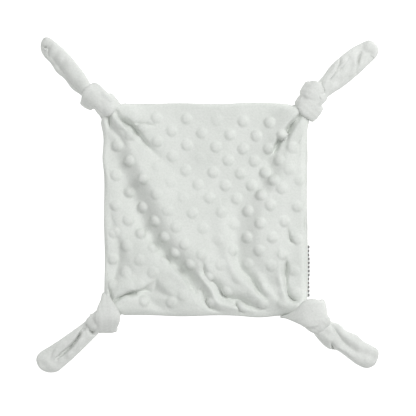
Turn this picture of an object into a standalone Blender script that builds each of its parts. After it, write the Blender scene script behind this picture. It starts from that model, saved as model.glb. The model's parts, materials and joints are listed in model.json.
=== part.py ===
# Comfort blanket lovey: a small square of dimple plush on a smooth plush back,
# with an overhand knot tied near the end of each corner and a short woven label
# in the right-hand seam. Lies face up on Z = 0, its origin under the panels' centre.
# +X is the label's side, +Y the top edge, +Z up. Lengths are in metres.

import math

import bmesh
import bpy
import numpy as np

mm = 0.001

# Panels
panel_width = 183 * mm
panel_height = 190 * mm
front_thickness = 3.0 * mm
back_thickness = 2.6 * mm
panel_gap = 0.3 * mm
rim_thickness = 1.2 * mm
rim_puff = 0.6 * mm
seam_opening = 1.2 * mm
left_seam_height = 6.0 * mm
right_seam_height = 8.0 * mm
top_seam_height = 5.5 * mm
bottom_seam_height = 5.5 * mm

# Panel corners, drawn in to the knots
neck_inset = 11.5 * mm
neck_radius = 6.5 * mm
neck_height = 8.5 * mm
neck_crown = 2.2 * mm
neck_flare = 26.0 * mm
corner_rise_reach = 44.0 * mm

# Dimple dots and folds of the front: the cloth is loose, so it lies a little above the back,
# with crests and valleys that fade out before the necks to leave a lifted knot its room
dot_height = 2.4 * mm
loose_height = 1.3 * mm
fold_height = 8.0 * mm
fold_width = 10.0 * mm
fold_lead = 18.0 * mm
fold_clear = 10.0 * mm
valley_thickness = 2.0 * mm

# Knots
knot_length = 29.0 * mm
knot_half_width = 13.8 * mm
knot_half_height = 10.4 * mm
knot_middle_height = 9.9 * mm
knot_lip = 1.8 * mm
knot_squareness = 2.4
neck_lip_setback = 2.5 * mm
wrap_depth = 1.9 * mm
wrap_lean_share = 0.24
wrap_width_share = 0.09
joint_clearance = 0.9 * mm

# Tails
tail_half_width = 10.8 * mm
tail_half_height = 3.7 * mm
tail_root_radius = 5.0 * mm
tail_root_height = 7.0 * mm
tail_lip_setback = 1.5 * mm
tail_trough = 2.6 * mm
tail_drop_share = 0.3
trough_start_share = 0.05
trough_run_share = 0.2
trough_width_share = 0.42

# Seam thread and label
thread_radius = 0.25 * mm
thread_inset = 3.0 * mm
label_length = 47.0 * mm
label_from_bottom = 15.5 * mm
label_thickness = 1.5 * mm
label_layer = 0.45 * mm
label_floor_clearance = 0.5 * mm

# Grid of the panels: fine cells on the front's face, coarse ones where the panels meet
fine_cells = 30
coarse_step = 3
coarse_share = 2 * coarse_step / fine_cells
dot_margin = 3

# Each corner: which way it lies from the centre, how far its knot and tail turn
# from the diagonal, the tail's length and where the knot's wrap starts
corners = {
    "top_left": dict(side=(-1, 1), turn=math.radians(0), tail=58.5 * mm, wrap=math.radians(40)),
    "top_right": dict(side=(1, 1), turn=math.radians(-3), tail=62.5 * mm, wrap=math.radians(215)),
    "bottom_left": dict(side=(-1, -1), turn=math.radians(-5), tail=54.5 * mm, wrap=math.radians(150)),
    "bottom_right": dict(side=(1, -1), turn=math.radians(8), tail=54.0 * mm, wrap=math.radians(300)),
}

# Crests and valleys of the front's folds: points along each in shares of the panel's half
# width and half height from its centre, each with its height as a share of the fold height,
# and the widths of the slopes on the left and right of the line as shares of the fold width
crest_shares = [
    # the main fold, from the upper left knot to the lower right one
    dict(path=[(-0.91, 0.89, 0.19), (-0.74, 0.56, 0.75), (-0.52, 0.20, 1.00), (-0.37, -0.09, 1.00),
               (-0.18, -0.35, 0.81), (0.05, -0.56, 0.56), (0.36, -0.78, 0.50), (0.77, -0.93, 0.38)],
         left=2.0, right=1.1),
    # the flap above its upper end
    dict(path=[(-0.84, 0.93, 0.19), (-0.65, 0.81, 0.44), (-0.54, 0.71, 0.44), (-0.32, 0.49, 0.10)],
         left=1.4, right=0.7),
    # the loose part on its left
    dict(path=[(-0.91, 0.22, 0.06), (-0.66, -0.19, 0.31), (-0.45, -0.40, 0.50), (-0.24, -0.62, 0.56),
               (-0.07, -0.84, 0.44), (-0.01, -0.96, 0.19)],
         left=0.45, right=2.0),
    # the lower left corner and the bottom edge
    dict(path=[(-0.90, -0.85, 0.19), (-0.74, -0.73, 0.56), (-0.50, -0.63, 0.31)], left=1.2, right=0.4),
    dict(path=[(-0.87, -0.92, 0.31), (-0.53, -0.90, 0.50), (-0.14, -0.90, 0.38), (0.0, -0.94, 0.19)],
         left=0.6, right=0.6),
    # the two on either side of the slit at the upper right
    dict(path=[(0.92, 0.94, 0.38), (0.78, 0.79, 0.69), (0.64, 0.60, 0.50), (0.45, 0.31, 0.12)],
         left=0.35, right=1.2),
    dict(path=[(0.96, 0.87, 0.38), (0.84, 0.67, 0.50), (0.77, 0.41, 0.25)], left=0.9, right=0.4),
    # the broad one below them, then the two beside the label
    dict(path=[(0.85, 0.43, 0.25), (0.69, 0.05, 0.50), (0.61, -0.29, 0.50), (0.68, -0.60, 0.38)],
         left=1.4, right=1.3),
    dict(path=[(0.91, -0.12, 0.12), (0.90, -0.50, 0.50), (0.93, -0.83, 0.38)], left=0.55, right=0.55),
    dict(path=[(0.76, -0.06, 0.12), (0.72, -0.39, 0.44), (0.74, -0.71, 0.75), (0.90, -0.90, 0.62)],
         left=0.4, right=0.7),
    # the ones that run together above the lower right knot
    dict(path=[(0.16, -0.05, 0.19), (0.21, -0.39, 0.62), (0.33, -0.66, 0.62), (0.59, -0.86, 0.38)],
         left=0.9, right=0.9),
    dict(path=[(-0.10, -0.56, 0.25), (0.04, -0.79, 0.62), (0.15, -0.98, 0.25)], left=0.45, right=0.45),
    dict(path=[(0.50, -0.60, 0.19), (0.66, -0.84, 0.62), (0.92, -0.90, 0.50)], left=0.5, right=0.5),
]
valley_shares = [
    # left of the main fold, above its upper end, and below its lower end
    dict(path=[(-0.88, 0.60, 0.19), (-0.76, 0.33, 0.50), (-0.61, 0.03, 0.69), (-0.47, -0.28, 0.75),
               (-0.26, -0.58, 0.88), (-0.08, -0.82, 0.62)],
         left=0.7, right=0.5),
    dict(path=[(-0.88, 0.90, 0.31), (-0.78, 0.82, 0.75), (-0.65, 0.72, 0.62), (-0.49, 0.57, 0.25)],
         left=0.35, right=0.35),
    dict(path=[(-0.03, -0.50, 0.25), (0.09, -0.67, 0.56), (0.19, -0.82, 0.75), (0.41, -0.88, 0.62),
               (0.65, -0.97, 0.19)],
         left=0.35, right=0.35),
    # from the slit at the upper right down to the lower right knot
    dict(path=[(0.94, 0.91, 0.38), (0.79, 0.73, 0.75), (0.67, 0.55, 0.50)], left=0.35, right=0.35),
    dict(path=[(0.70, 0.56, 0.38), (0.59, 0.27, 0.56), (0.42, -0.01, 0.62), (0.34, -0.35, 0.50),
               (0.42, -0.61, 0.62), (0.57, -0.82, 0.38)],
         left=0.8, right=0.5),
]

# Outline of a tail from its root to its tip: station, half width and half height shares
tail_outline_shares = [
    (0.06, 0.66, 1.12),
    (0.12, 0.82, 1.04),
    (0.20, 0.90, 1.00),
    (0.33, 0.95, 1.00),
    (0.48, 1.00, 1.00),
    (0.66, 1.00, 1.00),
    (0.81, 0.93, 0.95),
    (0.92, 0.74, 0.85),
    (0.98, 0.42, 0.60),
]


def clear_scene():
    for thing in list(bpy.data.objects):
        bpy.data.objects.remove(thing, do_unlink=True)


def material(name, colour, roughness, sheen=0.0):
    made = bpy.data.materials.new(name)
    made.use_nodes = True
    shader = made.node_tree.nodes["Principled BSDF"]
    shader.inputs["Base Color"].default_value = (*colour, 1.0)
    shader.inputs["Roughness"].default_value = roughness
    shader.inputs["Metallic"].default_value = 0.0
    shader.inputs["Sheen Weight"].default_value = sheen
    made.diffuse_color = (*colour, 1.0)
    return made


def add_object(name, points, faces, finish, sharp=math.radians(50)):
    mesh = bpy.data.meshes.new(name)
    mesh.from_pydata([tuple(float(c) for c in point) for point in points], [], faces)
    work = bmesh.new()
    work.from_mesh(mesh)
    bmesh.ops.recalc_face_normals(work, faces=work.faces)
    bmesh.ops.triangulate(work, faces=work.faces)
    work.to_mesh(mesh)
    work.free()
    mesh.shade_smooth()
    mesh.set_sharp_from_angle(angle=sharp)
    mesh.materials.append(finish)
    made = bpy.data.objects.new(name, mesh)
    bpy.context.scene.collection.objects.link(made)
    return made


def smooth_step(t):
    t = np.clip(t, 0.0, 1.0)
    return t * t * (3.0 - 2.0 * t)


def neck_point(corner):
    # Centre of the round end of the panels' corner, where the knot hinges.
    side_x, side_y = corner["side"]
    inset = neck_inset / math.sqrt(2)
    return np.array([side_x * (panel_width / 2 - inset), side_y * (panel_height / 2 - inset), neck_height])


def knot_angle(corner):
    # Direction in plan from the neck out along the knot and tail.
    side_x, side_y = corner["side"]
    return math.atan2(side_y, side_x) + corner["turn"]


# Panels

def plan_points(u, v):
    # A rectangle whose corners are drawn in to round-ended necks: along each diagonal the
    # half width falls in a straight line to the neck's radius and then rounds off.
    x = u * panel_width / 2
    y = v * panel_height / 2
    tip = neck_inset - neck_radius
    for corner in corners.values():
        side_x, side_y = corner["side"]
        from_x = (side_x * panel_width / 2 - x) * side_x
        from_y = (side_y * panel_height / 2 - y) * side_y
        inward = (from_x + from_y) / math.sqrt(2)
        across = (from_x - from_y) / math.sqrt(2)
        near = inward < neck_flare
        moved = tip + (neck_flare - tip) * inward / neck_flare
        straight = neck_radius + (neck_flare - neck_radius) * (moved - neck_inset) / (neck_flare - neck_inset)
        rounded = np.sqrt(np.maximum(neck_radius ** 2 - (moved - neck_inset) ** 2, 0.0))
        half_width = np.where(moved > neck_inset, straight, rounded)
        spread = np.divide(across, inward, out=np.zeros_like(across), where=inward > 0.0) * half_width
        new_x = side_x * (panel_width / 2 - (moved + spread) / math.sqrt(2))
        new_y = side_y * (panel_height / 2 - (moved - spread) / math.sqrt(2))
        x = np.where(near, new_x, x)
        y = np.where(near, new_y, y)
    return x, y


def seam_surface(u, v):
    # Height where the panels meet: flat inside, up to each seam in the outer cells,
    # and up to the neck in each corner.
    x, y = plan_points(u, v)
    flat = back_thickness + panel_gap / 2
    edge_u = np.clip(1.0 - (1.0 - np.abs(u)) / coarse_share, 0.0, 1.0)
    edge_v = np.clip(1.0 - (1.0 - np.abs(v)) / coarse_share, 0.0, 1.0)
    side_u = np.where(u > 0, right_seam_height, left_seam_height)
    side_v = np.where(v > 0, top_seam_height, bottom_seam_height)
    height = flat + np.maximum(edge_u * (side_u - flat), edge_v * (side_v - flat))
    for corner in corners.values():
        point = neck_point(corner)
        away = np.hypot(x - point[0], y - point[1])
        share = smooth_step(1.0 - away / corner_rise_reach)
        height = height + (neck_height - height) * share
    return height


def near_path(x, y, path):
    # Least distance to a line of straight runs, whether it lies on the line's left, and the
    # height share that the line carries there.
    best = np.full(x.shape, np.inf)
    on_left = np.zeros(x.shape, bool)
    carried = np.zeros(x.shape)
    for (ax, ay, a_share), (bx, by, b_share) in zip(path[:-1], path[1:]):
        dx, dy = bx - ax, by - ay
        share = np.clip(((x - ax) * dx + (y - ay) * dy) / (dx * dx + dy * dy), 0.0, 1.0)
        away = np.hypot(x - ax - share * dx, y - ay - share * dy)
        closer = away < best
        best = np.where(closer, away, best)
        on_left = np.where(closer, dx * (y - ay) > dy * (x - ax), on_left)
        carried = np.where(closer, a_share + share * (b_share - a_share), carried)
    return best, on_left, carried


def fold_rise(x, y, lines):
    # Height of a set of crests or valleys: a bell across each line, of its own width on either
    # side, and where bells meet the cube root of the sum of their cubes.
    total = np.zeros(x.shape)
    for line in lines:
        path = [(u * panel_width / 2, v * panel_height / 2, share) for u, v, share in line["path"]]
        away, on_left, carried = near_path(x, y, path)
        width = fold_width * np.where(on_left, line["left"], line["right"])
        total = total + (carried * np.exp(-(away / width) ** 2)) ** 3
    return fold_height * np.cbrt(total)


def clear_of_necks(x, y):
    # 0 near each neck, rising to 1 where the folds are free.
    clear = np.ones(x.shape)
    for corner in corners.values():
        point = neck_point(corner)
        away = np.hypot(x - point[0], y - point[1])
        clear = np.minimum(clear, smooth_step((away - fold_clear) / fold_lead))
    return clear


def front_face(u, v):
    # Height of the front's upper face.
    x, y = plan_points(u, v)
    cell_share = 2.0 / fine_cells
    cells_in = np.minimum(1.0 - np.abs(u), 1.0 - np.abs(v)) / cell_share
    inner = np.clip(cells_in, 0.0, 1.0)
    first_ring = 1.0 - np.clip(np.abs(cells_in - 1.0), 0.0, 1.0)
    opening = (seam_opening * (1.0 - inner) + panel_gap * inner) / 2
    under = seam_surface(u, v) + opening
    cloth = rim_thickness * (1.0 - inner) + front_thickness * inner + rim_puff * first_ring
    loose = loose_height * smooth_step((cells_in - 1.0) / (coarse_step - 1))
    folds = (fold_rise(x, y, crest_shares) - fold_rise(x, y, valley_shares)) * inner
    height = under + cloth + (loose + folds) * clear_of_necks(x, y)
    least = rim_thickness * (1.0 - inner) + valley_thickness * inner
    height = np.maximum(height, under + least)
    for corner in corners.values():
        point = neck_point(corner)
        share = np.hypot(x - point[0], y - point[1]) / neck_radius
        height = height + neck_crown * np.maximum(1.0 - share ** 2, 0.0)
    return height


def dot_lattice(count):
    # 1 at the grid points that carry a dot: every second point, row by row staggered.
    index = np.arange(count + 1)
    i, j = np.meshgrid(index, index, indexing="ij")
    on_lattice = (i % 2 == 1) & (j % 2 == 1) & ((i // 2 + j // 2) % 2 == 0)
    inside = (i >= dot_margin) & (i <= count - dot_margin) & (j >= dot_margin) & (j <= count - dot_margin)
    return (on_lattice & inside).astype(float)


def fine_grid():
    steps = np.linspace(-1.0, 1.0, fine_cells + 1)
    return np.meshgrid(steps, steps, indexing="ij")


def grid_index(i, j):
    return i * (fine_cells + 1) + j


def outline_indices():
    # The fine grid's outline, anticlockwise, from the lower left corner.
    n = fine_cells
    lower = [grid_index(i, 0) for i in range(n)]
    right = [grid_index(n, j) for j in range(n)]
    upper = [grid_index(i, n) for i in range(n, 0, -1)]
    left = [grid_index(0, j) for j in range(n, 0, -1)]
    return lower + right + upper + left


def coarse_faces():
    # Triangles of a coarse grid that keeps every fine point along its outline: each cell is
    # a fan from its corner nearest the middle.
    triangles = []
    n = fine_cells
    middle = n / 2
    for i in range(0, n, coarse_step):
        for j in range(0, n, coarse_step):
            i_far, j_far = i + coarse_step, j + coarse_step
            along_low = range(i, i_far) if j == 0 else [i]
            along_right = range(j, j_far) if i_far == n else [j]
            along_high = range(i_far, i, -1) if j_far == n else [i_far]
            along_left = range(j_far, j, -1) if i == 0 else [j_far]
            ring = [(a, j) for a in along_low] + [(i_far, b) for b in along_right]
            ring += [(a, j_far) for a in along_high] + [(i, b) for b in along_left]
            hub = min(range(len(ring)), key=lambda k: abs(ring[k][0] - middle) + abs(ring[k][1] - middle))
            ring = ring[hub:] + ring[:hub]
            for a, b in zip(ring[1:-1], ring[2:]):
                triangles.append((grid_index(*ring[0]), grid_index(*a), grid_index(*b)))
    return triangles


def fine_faces():
    # Triangles of the fine grid, each cell split so that its diagonal meets a dot.
    triangles = []
    for i in range(fine_cells):
        for j in range(fine_cells):
            a, b = grid_index(i, j), grid_index(i + 1, j)
            c, d = grid_index(i + 1, j + 1), grid_index(i, j + 1)
            if (i + j) % 2 == 0:
                triangles += [(a, b, c), (a, c, d)]
            else:
                triangles += [(a, b, d), (b, c, d)]
    return triangles


def closed_sheet(name, upper, upper_faces, lower, lower_faces, finish):
    # Joins an upper and a lower face along their outline, keeping only the points in use.
    u, v = fine_grid()
    x, y = plan_points(u, v)
    points = []
    faces = []
    first_of = []
    for heights, triangles, flip in ((upper, upper_faces, False), (lower, lower_faces, True)):
        used = sorted({k for triangle in triangles for k in triangle})
        place = {k: len(points) + n for n, k in enumerate(used)}
        points += [(x.flat[k], y.flat[k], heights.flat[k]) for k in used]
        for triangle in triangles:
            order = triangle[::-1] if flip else triangle
            faces.append(tuple(place[k] for k in order))
        first_of.append(place)
    loop = outline_indices()
    for a, b in zip(loop, loop[1:] + loop[:1]):
        faces.append((first_of[1][a], first_of[1][b], first_of[0][b], first_of[0][a]))
    return add_object(name, points, faces, finish)


def make_front_panel(finish):
    u, v = fine_grid()
    outline = np.maximum(np.abs(u), np.abs(v)) > 1.0 - 1.0 / fine_cells
    upper = front_face(u, v) + dot_height * dot_lattice(fine_cells)
    lower = seam_surface(u, v) + np.where(outline, seam_opening, panel_gap) / 2
    return closed_sheet("front_panel", upper, fine_faces(), lower, coarse_faces(), finish)


def make_back_panel(finish):
    u, v = fine_grid()
    outline = np.maximum(np.abs(u), np.abs(v)) > 1.0 - 1.0 / fine_cells
    upper = seam_surface(u, v) - np.where(outline, seam_opening, panel_gap) / 2
    lower = upper - np.where(outline, rim_thickness, back_thickness)
    return closed_sheet("back_panel", upper, coarse_faces(), lower, coarse_faces(), finish)


# Rings

def skin(name, rings, finish):
    # Closes a row of rings into one surface; a ring of one point is a pole.
    points = []
    rows = []
    for ring in rings:
        rows.append(range(len(points), len(points) + len(ring)))
        points += [tuple(point) for point in ring]
    faces = []
    for near, far in zip(rows[:-1], rows[1:]):
        count = max(len(near), len(far))
        for k in range(count):
            after = (k + 1) % count
            if len(near) == 1:
                faces.append((near[0], far[k], far[after]))
            elif len(far) == 1:
                faces.append((near[k], near[after], far[0]))
            else:
                faces.append((near[k], near[after], far[after], far[k]))
    return add_object(name, points, faces, finish)


def cross_ring(station, middle, half_width, half_height, angles, floor, dip=0.0):
    # An ellipse across X with a dip in its top, kept on or above the floor.
    across = half_width * np.cos(angles)
    rise = half_height * np.sin(angles)
    rise = rise - dip * np.exp(-(np.cos(angles) / trough_width_share) ** 2) * (np.sin(angles) > 0)
    return np.stack([np.full(angles.shape, station), across, np.maximum(middle + rise, floor)], axis=1)


# Knots

def make_knot(name, corner, finish, around=20, along=12, socket_rings=3):
    # Built about the neck's centre with X outwards: from the bottom of the neck's socket,
    # over its lip, along the wrapped outside and into the tail's socket.
    floor = -neck_height
    root = tail_root_height - neck_height
    middle_rise = knot_middle_height - (neck_height + tail_root_height) / 2
    neck_socket = neck_radius + joint_clearance
    tail_socket = tail_root_radius + joint_clearance
    start = neck_lip_setback
    end = knot_length - tail_lip_setback
    angles = np.arange(around) * 2 * math.pi / around
    wrap_share = 0.5 + wrap_lean_share * np.sin(angles + corner["wrap"])

    rings = [[(neck_socket, 0.0, 0.0)]]
    for lean in np.linspace(math.pi / 2, math.asin(start / neck_socket), socket_rings + 1)[1:]:
        radius = neck_socket * math.cos(lean)
        rings.append(cross_ring(neck_socket * math.sin(lean), 0.0, radius, radius, angles, floor))
    for share in np.linspace(0.0, 1.0, along + 1):
        bulge = math.sqrt(1.0 - abs(2.0 * share - 1.0) ** knot_squareness)
        lip = neck_socket * (1.0 - share) + tail_socket * share + knot_lip
        groove = wrap_depth * bulge * np.exp(-((share - wrap_share) / wrap_width_share) ** 2)
        half_width = lip + (knot_half_width - lip) * bulge - groove
        half_height = lip + (knot_half_height - lip) * bulge - groove
        middle = root * share + middle_rise * bulge
        station = start + (end - start) * share
        rings.append(cross_ring(station, middle, half_width, half_height, angles, floor))
    for lean in np.linspace(math.asin(tail_lip_setback / tail_socket), math.pi / 2, socket_rings + 1)[:-1]:
        radius = tail_socket * math.cos(lean)
        station = knot_length - tail_socket * math.sin(lean)
        rings.append(cross_ring(station, root, radius, radius, angles, floor))
    rings.append([(knot_length - tail_socket, 0.0, root)])

    knot = skin(name, rings, finish)
    knot.location = neck_point(corner)
    knot.rotation_euler.z = knot_angle(corner)
    return knot


# Tails

def make_tail(name, corner, knot, finish, around=14, root_rings=3):
    # Built about its round root with X outwards, then a flat pod with a trough along its top.
    floor = -tail_root_height
    length = corner["tail"]
    lying = tail_half_height - tail_root_height
    angles = np.arange(around) * 2 * math.pi / around
    rings = [[(-tail_root_radius, 0.0, 0.0)]]
    for lean in np.linspace(math.pi / 2, 0.0, root_rings + 1)[1:]:
        radius = tail_root_radius * math.cos(lean)
        rings.append(cross_ring(-tail_root_radius * math.sin(lean), 0.0, radius, radius, angles, floor))
    for station_share, width_share, height_share in tail_outline_shares:
        opening = smooth_step((station_share - trough_start_share) / trough_run_share)
        closing = smooth_step((1.0 - station_share) / trough_run_share)
        dip = tail_trough * opening * closing
        middle = lying * smooth_step(station_share / tail_drop_share)
        half_width = tail_half_width * width_share
        half_height = tail_half_height * height_share
        rings.append(cross_ring(length * station_share, middle, half_width, half_height, angles, floor, dip))
    rings.append([(length, 0.0, lying)])
    tail = skin(name, rings, finish)
    tail.parent = knot
    tail.location = (knot_length, 0.0, tail_root_height - neck_height)
    return tail


# Seam threads

def make_seam_thread(name, start_share, end_share, finish, steps=14, sides=6):
    # A thread between the panels' rims, a little inside the outline of one side. The panels
    # meet in straight slopes from the outline to the first coarse line, so it lies on those.
    shares = np.linspace(0.0, 1.0, steps + 1)
    ends = np.array([start_share, end_share])
    edge = ends[0] + (ends[1] - ends[0]) * shares[:, None]
    inner = np.where(np.abs(edge) == 1.0, edge * (1.0 - coarse_share), edge)
    depth = panel_width / 2 if abs(start_share[0]) == 1.0 else panel_height / 2
    inset_share = thread_inset / (depth * coarse_share)
    place = edge + (inner - edge) * inset_share
    x, y = plan_points(place[:, 0], place[:, 1])
    outer_height = seam_surface(edge[:, 0], edge[:, 1])
    inner_height = seam_surface(inner[:, 0], inner[:, 1])
    line = np.stack([x, y, outer_height + (inner_height - outer_height) * inset_share], axis=1)
    angles = np.arange(sides) * 2 * math.pi / sides
    rings = [[line[0]]]
    for k, centre in enumerate(line):
        ahead = line[min(k + 1, steps)] - line[max(k - 1, 0)]
        ahead = ahead / np.linalg.norm(ahead)
        across = np.cross(ahead, [0.0, 0.0, 1.0])
        across = across / np.linalg.norm(across)
        above = np.cross(across, ahead)
        turned = np.cos(angles)[:, None] * across + np.sin(angles)[:, None] * above
        rings.append(centre + turned * thread_radius)
    rings.append([line[-1]])
    return skin(name, rings, finish)


def make_seam_threads(finish):
    reach_share = 0.74
    make_seam_thread("top_seam_thread", (-reach_share, 1.0), (reach_share, 1.0), finish)
    make_seam_thread("bottom_seam_thread", (-reach_share, -1.0), (reach_share, -1.0), finish)
    make_seam_thread("left_seam_thread", (-1.0, -reach_share), (-1.0, reach_share), finish)
    make_seam_thread("right_seam_thread", (1.0, -reach_share), (1.0, reach_share), finish)


# Label

def make_label(finish, arc_steps=6):
    # A ribbon folded into a flat loop that hangs from the seam: its section is a ring of two
    # straight layers between a half circle round the hinge line and one at the fold.
    radius = label_thickness / 2
    drop = right_seam_height - label_floor_clearance - radius
    section = []
    for size in (radius, radius - label_layer):
        upper = [(size * math.cos(a), size * math.sin(a)) for a in np.linspace(0, math.pi, arc_steps)]
        lower = [(-a, -b - drop) for a, b in upper]
        section.append(upper + lower)
    count = len(section[0])
    points = []
    for end in (-label_length / 2, label_length / 2):
        for loop in section:
            points += [(a, end, b) for a, b in loop]
    faces = []
    for k in range(count):
        after = (k + 1) % count
        outer_near, inner_near, outer_far, inner_far = 0, count, 2 * count, 3 * count
        faces.append((outer_near + k, outer_near + after, outer_far + after, outer_far + k))
        faces.append((inner_near + after, inner_near + k, inner_far + k, inner_far + after))
        faces.append((outer_near + after, outer_near + k, inner_near + k, inner_near + after))
        faces.append((outer_far + k, outer_far + after, inner_far + after, inner_far + k))
    label = add_object("side_label", points, faces, finish)
    from_middle = label_from_bottom + label_length / 2 - panel_height / 2
    label.location = (panel_width / 2 + panel_gap + radius, from_middle, right_seam_height)
    return label


def build():
    clear_scene()
    dimple_plush = material("dimple_plush", (0.70, 0.73, 0.68), 0.95, sheen=0.4)
    smooth_plush = material("smooth_plush", (0.73, 0.73, 0.71), 0.90, sheen=0.5)
    thread = material("sewing_thread", (0.66, 0.68, 0.64), 0.70)
    satin = material("woven_satin", (0.86, 0.86, 0.84), 0.45)
    make_front_panel(dimple_plush)
    make_back_panel(smooth_plush)
    make_seam_threads(thread)
    for name, corner in corners.items():
        knot = make_knot(name + "_knot", corner, smooth_plush)
        make_tail(name + "_tail", corner, knot, smooth_plush)
    make_label(satin)


build()
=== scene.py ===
# Comfort blanket lovey: dimple plush front, smooth plush back, four knotted corners
# with soft tails, and a folded satin label in the right-hand seam.
# Shapes are worked out in millimetres and put into the meshes in metres.

import json
import math

import bpy
import numpy as np
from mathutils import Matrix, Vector


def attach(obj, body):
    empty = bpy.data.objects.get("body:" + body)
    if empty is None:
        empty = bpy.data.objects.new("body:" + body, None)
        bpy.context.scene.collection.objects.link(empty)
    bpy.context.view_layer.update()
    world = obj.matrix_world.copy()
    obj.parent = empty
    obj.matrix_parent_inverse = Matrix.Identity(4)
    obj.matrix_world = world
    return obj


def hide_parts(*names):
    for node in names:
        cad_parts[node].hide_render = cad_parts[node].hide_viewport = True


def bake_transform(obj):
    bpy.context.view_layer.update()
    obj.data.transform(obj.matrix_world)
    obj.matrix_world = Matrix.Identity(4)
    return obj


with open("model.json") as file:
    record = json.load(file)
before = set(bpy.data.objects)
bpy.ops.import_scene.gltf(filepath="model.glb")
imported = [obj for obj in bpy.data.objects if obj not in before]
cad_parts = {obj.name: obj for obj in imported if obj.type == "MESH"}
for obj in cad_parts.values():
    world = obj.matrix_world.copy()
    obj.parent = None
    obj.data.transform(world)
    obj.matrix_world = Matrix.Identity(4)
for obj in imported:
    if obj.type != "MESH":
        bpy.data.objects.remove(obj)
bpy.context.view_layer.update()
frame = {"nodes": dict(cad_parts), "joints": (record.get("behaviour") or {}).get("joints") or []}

mm = 0.001
tiny = 1e-9  # keeps a length or a side from being nought

# Places of folds, dots, knots and tails are read off the photograph, in its pixels
photo = dict(
    size=416,
    centre=(208.0, 208.0),
    middle=(206.0, 209.0),  # where the middle of the blanket's square lies
    mmPerPixel=0.9,
)


def toMm(places):
    # pixel to millimetre: across from the blanket's middle, and up the picture
    places = np.asarray(places, float)
    across = (places[..., 0] - photo["middle"][0]) * photo["mmPerPixel"]
    up = (photo["middle"][1] - places[..., 1]) * photo["mmPerPixel"]
    return np.stack([across, up], axis=-1)


def smoothStep(t):
    # eases from 0 to 1: three t squared less two t cubed, held still at both ends
    t = np.clip(t, 0.0, 1.0)
    return t * t * (3.0 - 2.0 * t)


def unit(vectors):
    # each vector divided by its length
    return vectors / np.maximum(np.linalg.norm(vectors, axis=-1, keepdims=True), tiny)


def smoothLine(points, perRun):
    # a curve through every point: each run is a cubic whose slopes come from its neighbours
    p = np.asarray(points, float)
    p = np.concatenate([2 * p[:1] - p[1:2], p, 2 * p[-1:] - p[-2:-1]])
    t = np.linspace(0.0, 1.0, perRun, endpoint=False)[None, :, None]
    a, b, c, d = (p[k:len(p) - 3 + k, None, :] for k in range(4))
    curve = 0.5 * (2 * b + (c - a) * t + (2 * a - 5 * b + 4 * c - d) * t ** 2
                   + (3 * b - a - 3 * c + d) * t ** 3)
    return np.concatenate([curve.reshape(-1, p.shape[1]), p[-2:-1]])


def nearLine(x, y, line):
    # least distance to a line of straight runs, plus on its left and minus on its right, with the
    # values that the line carries at the nearest place and the way that it runs there
    best = np.full(x.shape, np.inf)
    side = np.ones(x.shape)
    carried = np.zeros(x.shape + (line.shape[1] - 2,))
    alongX = np.zeros(x.shape)
    alongY = np.zeros(x.shape)
    for a, b in zip(line[:-1], line[1:]):
        dx, dy = b[0] - a[0], b[1] - a[1]
        run = math.hypot(dx, dy)
        share = np.clip(((x - a[0]) * dx + (y - a[1]) * dy) / run ** 2, 0.0, 1.0)
        away = np.hypot(x - a[0] - share * dx, y - a[1] - share * dy)
        closer = away < best
        best = np.where(closer, away, best)
        side = np.where(closer, np.sign(dx * (y - a[1]) - dy * (x - a[0]) + tiny), side)
        alongX = np.where(closer, dx / run, alongX)
        alongY = np.where(closer, dy / run, alongY)
        carried = np.where(closer[..., None], a[2:] + (b[2:] - a[2:]) * share[..., None], carried)
    return best * side, carried, alongX, alongY


def waves(x, y, seed, length, count=14, spread=(0.7, 1.5)):
    # soft unevenness: a sum of sine waves in seeded directions, each as long as the length
    # times a share drawn from the spread
    draw = np.random.default_rng(seed)
    turn = draw.uniform(0, 2 * math.pi, count)
    phase = draw.uniform(0, 2 * math.pi, count)
    scale = 2 * math.pi / (length * draw.uniform(*spread, count))
    total = np.zeros(np.shape(x))
    for a, p, k in zip(turn, phase, scale):
        total += np.sin((x * math.cos(a) + y * math.sin(a)) * k + p)
    return total / math.sqrt(count / 2)


joints = {j["name"]: j for j in frame["joints"]}
cornerNames = ["top_left", "top_right", "bottom_left", "bottom_right"]


def cornerOf(name):
    # the hinge at a knot's mouth, the hinge at its tail's root, and the way out from one to the other
    neck = np.array(joints[name + "_corner_lift"]["pos_m"]) / mm
    root = np.array(joints[name + "_tail_lift"]["pos_m"]) / mm
    out = root[:2] - neck[:2]
    return dict(neck=neck, root=root, out=unit(out))


corners = {name: cornerOf(name) for name in cornerNames}


# Camera and light

view = dict(  # heights in metres
    height=1.45,
    blanketHeight=0.008,  # where the picture's scale is true
    sensor=36.0,
    clip=(0.1, 20.0),
    skyLight=0.35,
)


def makeCamera():
    # straight down, so that the photograph's square covers its own width at the blanket's height
    across, up = toMm(photo["centre"]) * mm
    data = bpy.data.cameras.new("camera")
    data.sensor_width = view["sensor"]
    frameWidth = photo["size"] * photo["mmPerPixel"] * mm
    data.lens = view["sensor"] * (view["height"] - view["blanketHeight"]) / frameWidth
    data.clip_start, data.clip_end = view["clip"]
    camera = bpy.data.objects.new("camera", data)
    camera.location = (across, up, view["height"])
    bpy.context.scene.collection.objects.link(camera)
    bpy.context.scene.camera = camera


lamps = dict(  # soft discs that face the blanket; places and sizes in metres
    key=dict(place=(0.88, 0.70, 1.15), size=0.9, power=15.0, tint=(1.0, 1.0, 1.0)),
    fill=dict(place=(-0.9, -0.5, 1.3), size=1.6, power=3.5, tint=(1.0, 1.0, 1.0)),
    top=dict(place=(0.0, 0.1, 1.9), size=1.6, power=7.0, tint=(1.0, 1.0, 1.0)),
)


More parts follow.
